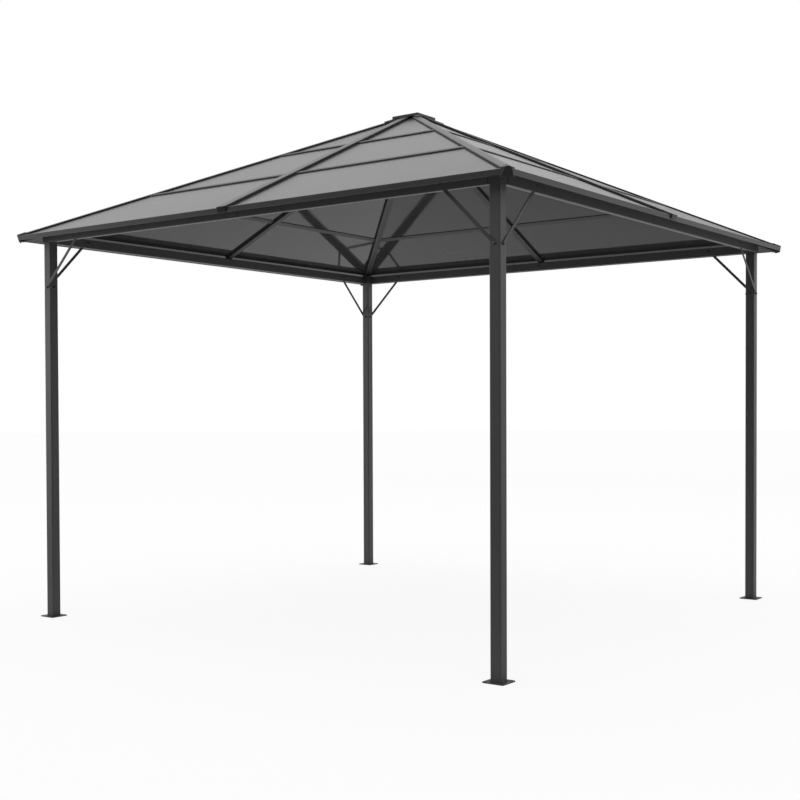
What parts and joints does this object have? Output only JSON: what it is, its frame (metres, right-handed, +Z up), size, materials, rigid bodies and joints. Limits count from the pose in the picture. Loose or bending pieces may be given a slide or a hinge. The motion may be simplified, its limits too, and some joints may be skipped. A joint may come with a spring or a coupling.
{
  "type": "metal gazebo",
  "caption": "Square metal gazebo with a low pyramid sheet roof, slim square posts on foot plates, ring beams and knee braces, open on every side.",
  "frame": {"origin": "middle of the square plan on the ground, under the apex", "axes": "+Z up, -Y out of the front side (the left hand side in the picture), +X out of the right side"},
  "size_m": [3.0236, 3.0236, 2.6991],
  "materials": {
    "frame_paint": "fine textured powder coat, satin",
    "foot_paint": "fine textured powder coat, satin",
    "brace_paint": "powder coat, satin",
    "rafter_paint": "powder coat, satin",
    "sheet_paint": "smooth coil coat, satin gloss",
    "cover_paint": "smooth coil coat, satin gloss",
    "fascia_paint": "powder coat, satin",
    "cap_paint": "powder coat, satin"
  },
  "bodies": {
    "root": {"apex_cap": "cover_paint", "apex_hub": "rafter_paint", "base_plate_back_left": "foot_paint", "base_plate_back_right": "foot_paint", "base_plate_front_left": "foot_paint", "base_plate_front_right": "foot_paint", "beam_back": "frame_paint", "beam_front": "frame_paint", "beam_left": "frame_paint", "beam_right": "frame_paint", "corner_caps": "cap_paint", "fascia_back": "fascia_paint", "fascia_front": "fascia_paint", "fascia_left": "fascia_paint", "fascia_right": "fascia_paint", "hip_cover_back_left": "cover_paint", "hip_cover_back_right": "cover_paint", "hip_cover_front_left": "cover_paint", "hip_cover_front_right": "cover_paint", "hip_rafter_back_left": "rafter_paint", "hip_rafter_back_right": "rafter_paint", "hip_rafter_front_left": "rafter_paint", "hip_rafter_front_right": "rafter_paint", "joint_strips": "rafter_paint", "knee_braces_back_left": "brace_paint", "knee_braces_back_right": "brace_paint", "knee_braces_front_left": "brace_paint", "knee_braces_front_right": "brace_paint", "mid_covers": "cover_paint", "mid_rafter_back": "rafter_paint", "mid_rafter_front": "rafter_paint", "mid_rafter_left": "rafter_paint", "mid_rafter_right": "rafter_paint", "post_back_left": "frame_paint", "post_back_right": "frame_paint", "post_front_left": "frame_paint", "post_front_right": "frame_paint", "post_head_back_left": "frame_paint", "post_head_back_right": "frame_paint", "post_head_front_left": "frame_paint", "post_head_front_right": "frame_paint", "roof_sheets_back": "sheet_paint", "roof_sheets_front": "sheet_paint", "roof_sheets_left": "sheet_paint", "roof_sheets_right": "sheet_paint"}
  },
  "joints": []
}
